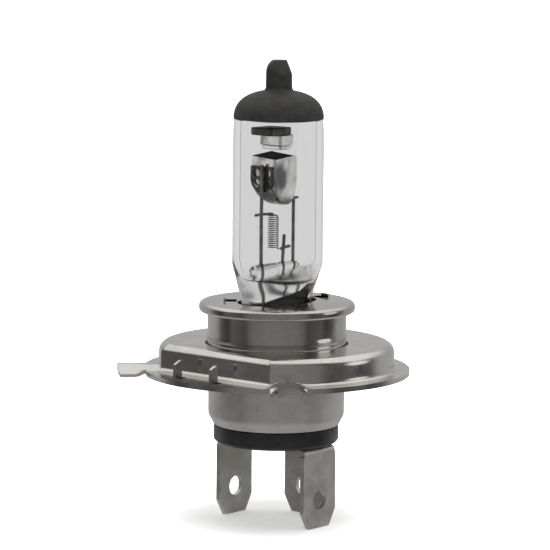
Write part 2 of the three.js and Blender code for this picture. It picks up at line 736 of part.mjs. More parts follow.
const wireBottom = FOIL_TOP + 0.1;
const [commonX, commonY] = alongPinch(LEADS.common);
const [lowX, lowY] = alongPinch(LEADS.low_beam);
const highPath = [wireBottom, BRIDGE_HEIGHT, HIGH_BEAM_POST_TOP].map((height) => (
  [...alongPinch(leadDistance('high_beam', height)), height]
));
const [highX, highY] = highPath[1];
const shieldWireY = SHIELD_BACK - WELD_PLATE_SHEET - 0.1 - WIRE_RADIUS;
add('shield_support_wire', wire([
  [commonX, commonY, wireBottom],
  [commonX, commonY, BRIDGE_HEIGHT - 2],
  [commonX, commonY, BRIDGE_HEIGHT + 2],
  [0.15, shieldWireY, 24],
  [0.1, shieldWireY, 28],
  [0.05, shieldWireY, WELD_PLATE_TOP + 0.3],
], WIRE_RADIUS), 'molybdenum');
add('low_beam_inner_lead', wire([
  [lowX, lowY, wireBottom],
  [lowX, lowY, BRIDGE_HEIGHT],
  [lowX, lowY, 22],
  [lowX, lowY, 27.6],
], WIRE_RADIUS), 'molybdenum');
add('high_beam_inner_lead', wire(highPath, WIRE_RADIUS, 4), 'molybdenum');
add('quartz_bridge', bridge([[commonX, commonY], [highX, highY], [lowX, lowY]]), 'glass');
add('high_beam_filament', filament(
  [-0.22, -0.75], 0.74, 19.4, 24.8,
  [[highX + 0.52, highY + 0.95, 19.6], [highX + 0.5, highY + 0.2, 19.55], [0.75, -0.1, 19.35]],
  [[0.1, -1.9, 25], [-0.55, -3.3, 25.1], [-0.88, -4.45, 25]],
), 'tungsten');
add('low_beam_filament', filament(
  [0, 0], 0.55, 28.3, 33.5,
  [[lowX - 0.1, lowY - 0.45, 27.4], [0.5, 1.6, 27.6]],
  [[0.3, -1.2, 33.7], [0, -2.6, 33.7]],
), 'tungsten');
add('low_beam_shield', lowBeamShield(), 'molybdenum');
add('shield_weld_plate', weldPlate(), 'molybdenum');
add('shield_baffle', shieldBaffle(), 'molybdenum');

export default bulb;
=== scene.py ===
"""A two-filament halogen headlight bulb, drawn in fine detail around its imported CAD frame.

Sizes are in millimetres until mesh_object() turns them into metres. +Z runs to the glass tip, and +Y to the
wide lug.
"""
import math

import bmesh
import bpy
from mathutils import Matrix, Vector


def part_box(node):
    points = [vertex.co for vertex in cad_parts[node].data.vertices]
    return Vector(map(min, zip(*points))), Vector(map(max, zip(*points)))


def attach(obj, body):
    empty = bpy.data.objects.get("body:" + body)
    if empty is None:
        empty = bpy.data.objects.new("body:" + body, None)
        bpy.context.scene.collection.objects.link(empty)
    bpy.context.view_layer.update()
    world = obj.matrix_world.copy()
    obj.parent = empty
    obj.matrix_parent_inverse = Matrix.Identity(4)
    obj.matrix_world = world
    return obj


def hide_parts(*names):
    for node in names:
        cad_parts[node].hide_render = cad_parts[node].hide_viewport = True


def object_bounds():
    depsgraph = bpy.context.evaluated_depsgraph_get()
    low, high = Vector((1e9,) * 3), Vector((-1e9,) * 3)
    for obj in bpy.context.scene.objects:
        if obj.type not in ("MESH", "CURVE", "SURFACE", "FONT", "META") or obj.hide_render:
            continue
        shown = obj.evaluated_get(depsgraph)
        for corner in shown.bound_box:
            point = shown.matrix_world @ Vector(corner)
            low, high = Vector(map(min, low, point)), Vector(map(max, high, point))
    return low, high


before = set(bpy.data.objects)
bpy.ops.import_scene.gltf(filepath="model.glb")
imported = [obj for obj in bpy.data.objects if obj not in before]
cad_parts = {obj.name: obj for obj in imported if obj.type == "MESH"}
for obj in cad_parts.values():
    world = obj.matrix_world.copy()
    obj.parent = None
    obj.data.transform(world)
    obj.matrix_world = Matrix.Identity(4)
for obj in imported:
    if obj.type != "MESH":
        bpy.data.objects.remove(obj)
cad_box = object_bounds()

MM = 0.001
ROUND = 192


def span(node):
    """A CAD node's lowest and highest corners, in millimetres."""
    low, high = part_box(node)
    return Vector(low) / MM, Vector(high) / MM


# ---------------------------------------------------------------- meshes


def mesh_object(name, verts, faces, material, sharp=32):
    mesh = bpy.data.meshes.new(name)
    mesh.from_pydata([[c * MM for c in v] for v in verts], [], faces)
    mesh.validate()
    mesh.materials.append(material)
    mesh.shade_smooth()
    mesh.set_sharp_from_angle(angle=math.radians(sharp))
    obj = bpy.data.objects.new(name, mesh)
    bpy.context.scene.collection.objects.link(obj)
    return obj


def place(obj, slot, *nodes):
    """The piece rides on the bulb's one body and stands for CAD nodes, if any are named."""
    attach(obj, "root")
    if nodes:
        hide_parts(*nodes)
    return obj


def smoothstep(t):
    t = min(1.0, max(0.0, t))
    return t * t * (3 - 2 * t)


def arc(cx, cy, radius, start, end, steps=8):
    angles = [math.radians(start + (end - start) * i / steps) for i in range(steps + 1)]
    return [(cx + radius * math.cos(a), cy + radius * math.sin(a)) for a in angles]


def circle(radius, z, count):
    """Evenly spaced points round the axis."""
    turn = [math.tau * i / count for i in range(count)]
    return [(radius * math.cos(a), radius * math.sin(a), z) for a in turn]


def lathe(profile, segments=ROUND, loop=False):
    """Vertices and faces of a surface of revolution. A profile that goes up has its outside to the right."""
    verts, rings = [], []
    for r, z in profile:
        first = len(verts)
        if r < 1e-6:
            verts.append((0, 0, z))
        else:
            verts += circle(r, z, segments)
        rings.append(range(first, len(verts)))
    faces = []
    pairs = list(zip(rings, rings[1:])) + ([(rings[-1], rings[0])] if loop else [])
    for low, high in pairs:
        faces += band(low, high, segments)
    return verts, faces


def band(low, high, segments, closed=True):
    """Faces between two rings of vertices, either of which may be a single point."""
    faces = []
    for i in range(segments if closed else segments - 1):
        j = (i + 1) % segments
        if len(low) == 1:
            faces.append((low[0], high[j], high[i]))
        elif len(high) == 1:
            faces.append((low[i], low[j], high[0]))
        else:
            faces.append((low[i], low[j], high[j], high[i]))
    return faces


def smooth_path(points, steps=8):
    """A Catmull-Rom curve through points."""
    pts = [Vector(p) for p in points]
    ends = [2 * pts[0] - pts[1], *pts, 2 * pts[-1] - pts[-2]]
    path = []
    for a, b, c, d in zip(ends, ends[1:], ends[2:], ends[3:]):
        for i in range(steps):
            t = i / steps
            path.append(0.5 * (2 * b + (c - a) * t + (2 * a - 5 * b + 4 * c - d) * t * t
                               + (3 * b - a - 3 * c + d) * t ** 3))
    return [*path, pts[-1]]


def tube(path, radius, sides=16):
    """A round bar along a path, its ends slightly rounded."""
    path = [Vector(p) for p in path]
    tangents = [(b - a).normalized() for a, b in zip(path, path[1:])]
    tangents = [tangents[0], *[(a + b).normalized() for a, b in zip(tangents, tangents[1:])], tangents[-1]]
    side = tangents[0].orthogonal().normalized()
    soft = radius * 0.3
    stations = [(path[0], tangents[0], side, radius - soft)]
    for point, tangent in zip(path, tangents):
        side = (side - tangent * side.dot(tangent)).normalized()
        stations.append((point, tangent, side, radius))
    stations[1] = (path[0] + tangents[0] * soft, tangents[0], stations[1][2], radius)
    stations[-1] = (path[-1] - tangents[-1] * soft, tangents[-1], side, radius)
    stations.append((path[-1], tangents[-1], side, radius - soft))
    verts, rings = [], []
    for point, tangent, across, r in stations:
        up = tangent.cross(across)
        first = len(verts)
        turn = [math.tau * i / sides for i in range(sides)]
        verts += [point + across * (r * math.cos(a)) + up * (r * math.sin(a)) for a in turn]
        rings.append(range(first, len(verts)))
    faces = [tuple(reversed(rings[0])), tuple(rings[-1])]
    for low, high in zip(rings, rings[1:]):
        faces += band(low, high, sides)
    return verts, faces


def joined(*parts):
    """Several separate solids as one mesh."""
    verts, faces = [], []
    for part_verts, part_faces in parts:
        start = len(verts)
        verts += part_verts
        faces += [tuple(start + i for i in face) for face in part_faces]
    return verts, faces


def moved(part, matrix):
    verts, faces = part
    return [matrix @ Vector(v) for v in verts], faces


def about_z(angle):
    return Matrix.Rotation(math.radians(angle), 4, "Z")


def bevelled(obj, width, segments=2, angle=40):
    """Rounds a piece's edges and applies it, so that the mesh itself carries the edge."""
    modifier = obj.modifiers.new("edges", "BEVEL")
    modifier.width = width * MM
    modifier.segments = segments
    modifier.limit_method = "ANGLE"
    modifier.angle_limit = math.radians(angle)
    apply_modifiers(obj, 20)
    return obj


def apply_modifiers(obj, sharp=32):
    graph = bpy.context.evaluated_depsgraph_get()
    mesh = bpy.data.meshes.new_from_object(obj.evaluated_get(graph))
    obj.modifiers.clear()
    obj.data = mesh
    mesh.shade_smooth()
    mesh.set_sharp_from_angle(angle=math.radians(sharp))


def combined(obj, tool, operation):
    """Joins a tool to a piece or cuts it away, and removes the tool."""
    modifier = obj.modifiers.new("tool", "BOOLEAN")
    modifier.operation = operation
    modifier.solver = "EXACT"
    modifier.object = tool
    apply_modifiers(obj)
    bpy.data.objects.remove(tool)


def cut(obj, *cutters):
    """Takes other solids out of a piece."""
    for cutter in cutters:
        combined(obj, mesh_object("cutter", *cutter, obj.data.materials[0]), "DIFFERENCE")


def prism(outline, near, far, to_xyz):
    """A straight extrusion of an outline. to_xyz turns (u, v, w) into a point."""
    count = len(outline)
    verts = [to_xyz(u, v, near) for u, v in outline] + [to_xyz(u, v, far) for u, v in outline]
    faces = [tuple(range(count - 1, -1, -1)), tuple(range(count, 2 * count))]
    faces += band(range(count), range(count, 2 * count), count)
    return verts, faces


def slab(outline, bottom, top):
    return prism(outline, bottom, top, lambda u, v, w: (u, v, w))


def box(low, high):
    (x0, y0, z0), (x1, y1, z1) = low, high
    return slab([(x0, y0), (x1, y0), (x1, y1), (x0, y1)], z0, z1)


def rod(radius, bottom, top, sides=24):
    """A plain round bar on the axis, for drilling holes."""
    return lathe([(0, bottom), (radius, bottom), (radius, top), (0, top)], sides)


def outward(obj):
    """Turns every face of a piece to point out."""
    work = bmesh.new()
    work.from_mesh(obj.data)
    bmesh.ops.recalc_face_normals(work, faces=work.faces)
    work.to_mesh(obj.data)
    work.free()
    return obj


# ---------------------------------------------------------------- materials


class Nodes:
    """Short helpers for the nodes that the materials and the room use."""

    def __init__(self, tree):
        self.tree = tree

    def fill(self, socket, value):
        if isinstance(value, bpy.types.NodeSocket):
            self.tree.links.new(value, socket)
        else:
            socket.default_value = value

    def node(self, kind, **inputs):
        made = self.tree.nodes.new(kind)
        for key, value in inputs.items():
            self.fill(made.inputs[key.replace("_", " ")], value)
        return made

    def operate(self, kind, operation, values):
        made = self.tree.nodes.new(kind)
        made.operation = operation
        for socket, value in zip(made.inputs, values):
            self.fill(socket, value)
        return made

    def math(self, operation, *values):
        return self.operate("ShaderNodeMath", operation, values).outputs[0]

    def vector(self, operation, *values):
        return self.operate("ShaderNodeVectorMath", operation, values).outputs["Vector"]

    def dot(self, first, second):
        return self.operate("ShaderNodeVectorMath", "DOT_PRODUCT", (first, second)).outputs["Value"]

    def height(self, vector):
        return self.node("ShaderNodeSeparateXYZ", Vector=vector).outputs["Z"]

    def mix(self, factor, first, second):
        made = self.tree.nodes.new("ShaderNodeMix")
        made.data_type = "RGBA"
        for index, value in ((0, factor), (6, first), (7, second)):
            self.fill(made.inputs[index], value)
        return made.outputs[2]

    def spread(self, value, low, high, to_low=0.0, to_high=1.0):
        """A soft step from to_low to to_high as a value goes from low to high."""
        made = self.node("ShaderNodeMapRange", Value=value, From_Min=low, From_Max=high,
                         To_Min=to_low, To_Max=to_high)
        made.interpolation_type = "SMOOTHSTEP"
        return made.outputs[0]

    def ramp(self, value, stops):
        """Grey levels along a value from 0 to 1."""
        made = self.node("ShaderNodeValToRGB", Fac=value)
        elements = made.color_ramp.elements
        while len(elements) < len(stops):
            elements.new(0.5)
        for element, (at, level) in zip(elements, stops):
            element.position = at
            element.color = (level, level, level, 1)
        return made.outputs[0]


class Look(Nodes):
    """A node material under construction."""

    def __init__(self, name):
        self.material = bpy.data.materials.new(name)
        self.material.use_nodes = True
        super().__init__(self.material.node_tree)
        self.shader = self.tree.nodes["Principled BSDF"]
        self.place = self.tree.nodes.new("ShaderNodeTexCoord").outputs["Object"]

    def noise(self, size, detail=4, stretch=(1, 1, 1), roughness=0.6):
        """Noise whose features are about size millimetres across, drawn out along an axis by stretch."""
        mapping = self.node("ShaderNodeMapping", Vector=self.place)
        mapping.inputs["Scale"].default_value = [1 / s for s in stretch]
        made = self.node("ShaderNodeTexNoise", Vector=mapping.outputs[0], Scale=1 / (size * MM),
                         Detail=detail, Roughness=roughness)
        return made.outputs["Fac"]

    def softened(self, value, to_low=0.0, to_high=1.0):
        """A noise's middle range, spread over to_low to to_high."""
        return self.spread(value, 0.3, 0.7, to_low, to_high)

    def bump(self, height, depth):
        """Bump whose full height is depth millimetres."""
        made = self.node("ShaderNodeBump", Height=height, Strength=1.0, Distance=depth * MM)
        self.fill(self.shader.inputs["Normal"], made.outputs[0])

    def set(self, **inputs):
        for key, value in inputs.items():
            self.fill(self.shader.inputs[key.replace("_", " ")], value)


def grey(level, warm=0.0):
    """A neutral colour, pushed towards yellow by warm."""
    return (level * (1 + warm), level, level * (1 - 1.6 * warm), 1)


def metal(name, light, dark, rough, grain_size, grain_depth, stretch=(1, 1, 1), warm=0.02,
          specks=0.0, speck_size=0.35, blotch=4.0):
    """Metal with cloudy tone, fine grain, and dark specks where specks is above 0."""
    look = Look(name)
    tone = look.mix(look.softened(look.noise(blotch, 5)), grey(dark, warm), grey(light, warm))
    if specks:
        spots = look.spread(look.noise(speck_size, 2, roughness=0.4), 0.66, 0.76, 0, specks)
        tone = look.mix(spots, tone, grey(dark * 0.35, warm))
    grain = look.noise(grain_size, 6, stretch)
    smudge = look.noise(blotch * 0.5, 3)
    wear = look.math("ADD", look.math("MULTIPLY", smudge, 0.6), look.math("MULTIPLY", grain, 0.4))
    look.set(Base_Color=tone, Roughness=look.softened(wear, *rough), Metallic=1.0)
    look.bump(grain, grain_depth)
    return look.material


polished_steel = metal("polished_plated_steel", 0.60, 0.48, (0.10, 0.18), 0.5, 0.002, warm=0.03,
                       specks=0.35, speck_size=0.3, blotch=7)
ring_steel = metal("pressed_plated_steel", 0.66, 0.54, (0.13, 0.22), 0.5, 0.002, warm=0.03,
                   specks=0.4, speck_size=0.28, blotch=6)
satin_steel = metal("satin_steel", 0.92, 0.78, (0.46, 0.60), 0.16, 0.010, stretch=(1, 1, 2.2), warm=0.02,
                    specks=0.55, speck_size=0.3, blotch=3)
terminal_steel = metal("rolled_terminal_metal", 0.86, 0.66, (0.48, 0.60), 0.12, 0.008, stretch=(1, 1, 6),
                       warm=0.03, specks=0.45, speck_size=0.35, blotch=3.5)
solder_metal = metal("solder", 0.55, 0.42, (0.30, 0.42), 0.25, 0.02, blotch=0.8)
wire_metal = metal("drawn_molybdenum_wire", 0.26, 0.15, (0.30, 0.45), 0.1, 0.006, stretch=(1, 1, 8), blotch=2)
sheet_metal = metal("bright_molybdenum_sheet", 0.86, 0.74, (0.08, 0.20), 0.3, 0.003, stretch=(1, 1, 3),
                    blotch=1.6)
# Dark sheet: the own colour of the weld plate and the baffle's brim, and painted shade where it covers the
# inside of the shield's cup.
dark_sheet_and_shade = metal("dark_molybdenum_sheet_and_shade", 0.10, 0.04, (0.30, 0.45), 0.2, 0.006, blotch=1.2)
coil_metal = metal("tungsten_coil", 0.32, 0.14, (0.30, 0.45), 0.08, 0.002, blotch=0.5)


def creased_sheet():
    """Thin sheet after drawing: bright, softly buckled, darkened in patches by heat, and darker towards its
    foot.
    """
    look = Look("creased_molybdenum_sheet")
    patches = look.spread(look.noise(4.2, 2, (1, 1, 1.3), 0.4), 0.44, 0.66)
    # Darker towards the cup's lower end, below about 27 mm, where the crumple noise lets it through.
    foot = look.spread(look.height(look.place), 28.4 * MM, 26.8 * MM)
    crumple = look.spread(look.noise(0.7, 4), 0.36, 0.56)
    darker_patches_and_foot = look.math("MAXIMUM", patches, look.math("MULTIPLY", foot, crumple))
    tone = look.mix(darker_patches_and_foot, grey(0.86, 0.01), grey(0.13, 0.01))
    streaks = look.noise(0.3, 5, (1, 1, 3))
    tone = look.mix(look.softened(streaks, 0, 0.18), tone, grey(0.35))
    look.set(Base_Color=tone, Roughness=look.softened(streaks, 0.12, 0.26), Metallic=1.0)
    look.bump(look.noise(3.5, 1), 0.5)
    return look.material


def black_coating():
    """A brushed-on heat-resistant paint: matte, slightly mottled and a little rubbed at the tip."""
    look = Look("black_heat_coating")
    tone = look.mix(look.softened(look.noise(1.8, 5)), grey(0.015, 0.03), grey(0.024, 0.03))
    specks = look.spread(look.noise(0.22, 2), 0.68, 0.78, 0, 0.4)
    tone = look.mix(specks, tone, grey(0.045, 0.02))
    grain = look.noise(0.14, 6)
    look.set(Base_Color=tone, Roughness=look.softened(grain, 0.52, 0.72), Specular_IOR_Level=0.3)
    look.bump(grain, 0.012)
    return look.material


def painted_shade_black():
    """Painted shade: a flat black with no shine even at a low angle, for the lid that stands in for the shade
    inside the shield's open top.
    """
    look = Look("painted_shade_black")
    tone = look.mix(look.softened(look.noise(1.1, 5)), grey(0.012), grey(0.03))
    grain = look.noise(0.1, 5)
    look.set(Base_Color=tone, Roughness=look.softened(grain, 0.85, 1.0), Specular_IOR_Level=0.05)
    look.bump(grain, 0.008)
    return look.material


def black_plastic():
    """Moulded thermoset: near black with faint flow marks and fine pitting."""
    look = Look("black_moulded_insulator")
    tone = look.mix(look.softened(look.noise(3, 5, (1, 1, 0.5))), grey(0.007), grey(0.014))
    look.set(Base_Color=tone, Roughness=look.softened(look.noise(1.5), 0.30, 0.46))
    look.bump(look.noise(0.12, 5), 0.012)
    return look.material


def clear_glass(name, tint, rough, index, pressed=0.0):
    """Drawn glass, very slightly streaked along its length. Its pressed foot is rougher by pressed."""
    look = Look(name)
    streaks = look.noise(1.4, 3, (1, 1, 14))
    tone = look.mix(look.spread(streaks, 0.35, 0.65), grey(tint), grey(min(1.0, tint + 0.02)))
    foot = look.spread(look.height(look.place), 18.5 * MM, 14.0 * MM, 0, pressed)
    roughness = look.math("ADD", look.softened(look.noise(2.5), rough * 0.5, rough), foot)
    look.set(Base_Color=tone, IOR=index, Transmission_Weight=1.0, Roughness=roughness)
    look.bump(streaks, 0.004)
    return look.material


creased_look = creased_sheet()
coating_look = black_coating()
shade_lid_look = painted_shade_black()
plastic_look = black_plastic()
envelope_look = clear_glass("clear_envelope_glass", 0.95, 0.02, 1.25, 0.26)
bridge_look = clear_glass("quartz_bridge_glass", 0.93, 0.05, 1.45)


# ---------------------------------------------------------------- prefocus ring

ring_high = span("prefocus_ring")[1]
RIM_RADIUS = ring_high.x
DOME_TOP = ring_high.z
LUG_REACH = ring_high.y
SHEET = 0.8
DOME_RADIUS = RIM_RADIUS - 2.5
HOLE_RADIUS = 11.5
FLAT_DISTANCE = 15.2
TOP_FILLET = 1.5
FOOT_FILLET = 0.8
NARROW_LUG = 2.9
WIDE_LUG = 4.0
LUG_RISE = 0.8
LUGS = [(-135, NARROW_LUG), (-45, NARROW_LUG), (90, WIDE_LUG)]
FIN_DISTANCE = 18.3
FIN_OFFSETS = (-5.1, 2.4)


def wall_distance(angle):
    """Distance from the axis to the dome's wall, and the cosine between the radius and the wall's normal."""
    slant = math.cos(math.radians(angle + 90))
    if slant > 0 and FLAT_DISTANCE / slant < DOME_RADIUS:
        return FLAT_DISTANCE / slant, slant
    return DOME_RADIUS, 1.0


def ridge(x, y, out):
    """Height that the lugs' arches add to the rim. Past the rim's edge, out grows from 0 to 1."""
    height = 0.0
    for angle, half in LUGS:
        a = math.radians(angle)
        along = x * math.cos(a) + y * math.sin(a)
        across = (-x * math.sin(a) + y * math.cos(a)) / half
        if along > 0 and abs(across) < 1.35:
            on_rim = LUG_RISE * max(0.0, 1 - (across / 1.3) ** 2) ** 1.5
            on_lug = LUG_RISE - (LUG_RISE + 0.55) * across ** 2
            height += on_rim + (on_lug - on_rim) * smoothstep(out)
    return height


def ring_columns():
    """Angles of the pressing's sections, with some at each corner of the flat and the lugs."""
    flat_end = math.degrees(math.acos(FLAT_DISTANCE / DOME_RADIUS))
    angles = {round(i * 0.9, 3) for i in range(400)}
    for side in (-1, 1):
        for near in (-0.3, 0, 0.3):
            angles.add(round((-90 + side * (flat_end + near)) % 360, 4))
    for angle, half in LUGS:
        edge = math.degrees(math.asin(half / RIM_RADIUS))
        for corner in (angle - edge, angle + edge):
            angles = {a for a in angles if abs((a - corner + 180) % 360 - 180) > 0.25}
            angles.add(round(corner % 360, 4))
    return sorted(angles)


def ring_rows(angle):
    """One radial section of the pressed sheet's top face, from the hole out to the rim's edge."""
    wall, slant = wall_distance(angle)
    section = [(HOLE_RADIUS, DOME_TOP - 0.75)]
    section += arc(HOLE_RADIUS + 0.4, DOME_TOP - 0.4, 0.4, 180, 90, 5)
    start = wall - TOP_FILLET / slant
    inner = HOLE_RADIUS + 0.4
    section += [(inner + (start - inner) * t, DOME_TOP) for t in (0.2, 0.4, 0.6, 0.8)]
    for x, z in arc(0, 0, TOP_FILLET, 90, 0, 10):
        section.append((start + x / slant, DOME_TOP - TOP_FILLET + z))
    section += [(wall, FOOT_FILLET + (DOME_TOP - TOP_FILLET - FOOT_FILLET) * t) for t in (0.67, 0.33)]
    for x, z in arc(0, FOOT_FILLET, FOOT_FILLET, 180, 270, 7):
        section.append((wall + (FOOT_FILLET + x) / slant, z))
    outer = section[-1][0]
    section += [(outer + (RIM_RADIUS - outer) * t, 0) for t in (0.2, 0.4, 0.6, 0.8, 1)]
    return section


def press_sheet():
    """The whole ring's top face as one grid, with each lug as a patch that grows from the rim's edge."""
    columns = ring_columns()
    count = len(columns)
    verts, rows = [], []
    sections = [ring_rows(angle) for angle in columns]
    foot = len(sections[0]) - 5 - 8
    for k in range(len(sections[0])):
        first = len(verts)
        for angle, section in zip(columns, sections):
            r, z = section[k]
            a = math.radians(angle)
            x, y = r * math.cos(a), r * math.sin(a)
            if k >= foot:
                rise = ridge(x, y, 0)
                z = max(z, rise) if k < foot + 8 else z + rise
            verts.append((x, y, z))
        rows.append(range(first, len(verts)))
    faces = []
    for inner, outer in zip(rows, rows[1:]):
        faces += band(outer, inner, count)
    rim = rows[-1]
    for angle, half in LUGS:
        a = math.radians(angle)
        edge = math.degrees(math.asin(half / RIM_RADIUS)) + 0.01
        picked = [i for i, c in enumerate(columns) if abs((c - angle + 180) % 360 - 180) <= edge]
        picked.sort(key=lambda i: (columns[i] - angle + 180) % 360)
        previous = [rim[i] for i in picked]
        for step in range(1, 11):
            current = []
            for i in picked:
                x0, y0, z0 = verts[rim[i]]
                along = x0 * math.cos(a) + y0 * math.sin(a)
                across = -x0 * math.sin(a) + y0 * math.cos(a)
                far = LUG_REACH - 0.02 - 0.35 * smoothstep((abs(across) / half - 0.75) * 4)
                reach = along + (far - along) * step / 10
                x = reach * math.cos(a) - across * math.sin(a)
                y = reach * math.sin(a) + across * math.cos(a)
                current.append(len(verts))
                verts.append((x, y, ridge(x, y, (reach - along) / 1.6)))
            for i in range(len(picked) - 1):
                faces.append((previous[i], current[i], current[i + 1], previous[i + 1]))
            previous = current
    return verts, faces


def fin(offset):
    """A small stamped fin that stands on the rim in front of the flat."""
    near, far = -FIN_DISTANCE - 0.85, -FIN_DISTANCE + 0.85
    side = [(near, -0.3), (far, -0.3), (far, 2.35), (far - 0.25, 2.72)]
    side += [(near + 0.75, 2.45), (near + 0.1, 2.1)]
    return prism(side, offset - 0.27, offset + 0.27, lambda u, v, w: (w, u, v))


def make_ring():
    sheet = mesh_object("prefocus_ring_pressing", *press_sheet(), ring_steel)
    solidify = sheet.modifiers.new("sheet", "SOLIDIFY")
    solidify.thickness = SHEET * MM
    solidify.offset = -1
    solidify.use_even_offset = True
    apply_modifiers(sheet, sharp=38)
    cutters = []
    for offset in FIN_OFFSETS:
        low = (offset + 0.4, -FIN_DISTANCE - 0.75, -2)
        cutters.append(box(low, (offset + 1.45, -FIN_DISTANCE + 0.75, 1)))
    cutters.append(moved(rod(0.22, -2, 1), Matrix.Translation((-0.6, -FIN_DISTANCE - 1.4, 0))))
    cut(sheet, *cutters)
    place(sheet, "plated_steel", "prefocus_ring")
    for side, offset in zip(("left", "right"), FIN_OFFSETS):
        piece = outward(mesh_object(f"ring_fin_{side}", *fin(offset), ring_steel))
        place(bevelled(piece, 0.08), "plated_steel")


make_ring()


# ---------------------------------------------------------------- sleeve, top plate and base shell

sleeve_low, sleeve_high = span("upper_sleeve")
plate_low, plate_high = span("top_plate")
shell_low, shell_high = span("base_shell")
insulator_low, insulator_high = span("insulator_disc")
SLEEVE_RADIUS = sleeve_high.x
PLATE_RADIUS = plate_high.x
PLATE_TOP = plate_high.z - 0.6
PLATE_OPENING = (7.4, 5.2)
WINDOWS = ((76, 7.7), (220, 6.5))
WINDOW_LENGTH = 1.8
PINCH_ANGLE = 86


def make_sleeve():
    """A polished tube with a shallow bead just above the dome."""
    r, wall, bead = SLEEVE_RADIUS, 0.6, 0.16
    profile = [(r - 0.1, sleeve_low.z), (r, sleeve_low.z + 0.1), (r, DOME_TOP + 0.4), (r, DOME_TOP + 0.6)]
    profile += [(r + bead, DOME_TOP + 0.95), (r + bead, DOME_TOP + 1.25)]
    profile += [(r, DOME_TOP + 1.6), (r, DOME_TOP + 1.8), (r, sleeve_high.z - 0.1)]
    profile += [(r - 0.1, sleeve_high.z), (r - wall, sleeve_high.z), (r - wall, sleeve_low.z)]
    sleeve = mesh_object("upper_sleeve_tube", *lathe(profile, loop=True), polished_steel)
    place(sleeve, "plated_steel", "upper_sleeve")


def make_plate():
    """The plate on the sleeve: a flat top, a full rolled edge, and a lip tucked under against the sleeve."""
    lip = plate_low.z
    edge, roll, sheet = 0.75, 0.55, 0.55
    lip_radius = SLEEVE_RADIUS + 0.12
    profile = [(0, PLATE_TOP - sheet), (PLATE_RADIUS - sheet, PLATE_TOP - sheet)]
    profile += [(PLATE_RADIUS - sheet, lip + roll), (lip_radius, lip + roll), (lip_radius, lip + 0.12)]
    profile += arc(lip_radius + 0.12, lip + 0.12, 0.12, 180, 270, 4)
    profile += arc(PLATE_RADIUS - roll, lip + roll, roll, 270, 360, 8)
    profile += arc(PLATE_RADIUS - edge, PLATE_TOP - edge, edge, 0, 90, 10)
    profile += [(PLATE_RADIUS - edge - 1.2, PLATE_TOP), (9.4, PLATE_TOP), (6.5, PLATE_TOP), (0, PLATE_TOP)]
    plate = mesh_object("rolled_top_plate", *lathe(profile), polished_steel)
    opening = rod(1, lip, PLATE_TOP + 1, 96)
    stretch = Matrix.Diagonal((*PLATE_OPENING, 1, 1))
    cutters = [moved(opening, about_z(PINCH_ANGLE) @ stretch)]
    for angle, near in WINDOWS:
        window = box((near, -1.3, lip + roll + 0.02), (near + WINDOW_LENGTH, 1.3, PLATE_TOP + 1))
        cutters.append(moved(window, about_z(angle)))
    cut(plate, *cutters)
    place(bevelled(plate, 0.05, 2, 50), "plated_steel", "top_plate")
    for side, (angle, near) in zip(("rear", "left"), WINDOWS):
        far = near + WINDOW_LENGTH
        tongue = [(far, PLATE_TOP - 0.35), (far + 0.32, PLATE_TOP - 0.35), (far + 0.32, PLATE_TOP + 0.3),
                  (far + 0.2, PLATE_TOP + 0.6), (far - 0.1, PLATE_TOP + 0.5), (far, PLATE_TOP + 0.2)]
        part = moved(prism(tongue, -1.0, 1.0, lambda u, v, w: (u, w, v)), about_z(angle))
        piece = outward(mesh_object(f"plate_tongue_{side}", *part, ring_steel))
        place(bevelled(piece, 0.08), "plated_steel")


def make_shell():
    """The drawn shell: straight above, rolled in at its foot to hold the insulator."""
    r, wall, foot = shell_high.x, 0.6, shell_low.z
    neck = r - 0.7
    profile = [(10.08, foot + 0.06), (10.2, foot)]
    profile += arc(r - 1.9, foot + 1.95, 1.9, -38, 0, 9)
    profile += [(r, -5.5), (r, -3.5), *arc(r - 0.5, -1.4, 0.5, 0, 90, 6), (neck, -0.9), (neck, shell_high.z)]
    profile += [(neck - wall, shell_high.z), (neck - wall, -1.4), (r - wall, -2.0), (r - wall, foot + 1.8),
                (10.15, foot + 0.9), (9.7, foot + 0.1)]
    shell = mesh_object("drawn_base_shell", *lathe(profile, loop=True), satin_steel)
    place(shell, "satin_steel", "base_shell")


def make_insulator():
    """The moulded disc, with a raised middle inside the shell and a hole for each lead."""
    r, foot = insulator_high.x, insulator_low.z
    top = shell_low.z - 0.1
    profile = [(0, foot + 0.25), (5.5, foot + 0.25), (5.7, foot), (r - 0.55, foot), (r - 0.4, foot + 0.05)]
    profile += [(r - 0.05, foot + 0.4), (r, foot + 0.55), (r, top - 0.12), (r - 0.12, top), (9.3, top)]
    profile += [(9.3, insulator_high.z), (0, insulator_high.z)]
    disc = mesh_object("moulded_insulator", *lathe(profile), plastic_look)
    holes = []
    for node in TERMINALS:
        x, y = wire_end(node)
        holes.append(moved(rod(0.65, foot - 1, insulator_high.z + 1), Matrix.Translation((x, y, 0))))
    cut(disc, *holes)
    place(disc, "insulator", "insulator_disc")


# ---------------------------------------------------------------- terminals

TERMINALS = {"high_beam": 0, "common": 180, "low_beam": 90}
BLADE_SHEET = 0.8
FOOT_LENGTH = 4.0
LOCKING_RADIUS = 1.6
LOCKING_HEIGHT = 4.5


def blade_frame(name):
    """A terminal's outer face distance, and its width and heights, read off the frame."""
    low, high = span(f"{name}_terminal")
    if name == "low_beam":
        return high.y, (high.x - low.x) / 2, low.z, high.z
    return max(high.x, -low.x), (high.y - low.y) / 2, low.z, high.z


def wire_end(name):
    """Where a terminal's lead comes through its foot."""
    face = blade_frame(name)[0]
    a = math.radians(TERMINALS[name])
    reach = face - FOOT_LENGTH + 1.6
    return reach * math.cos(a), reach * math.sin(a)


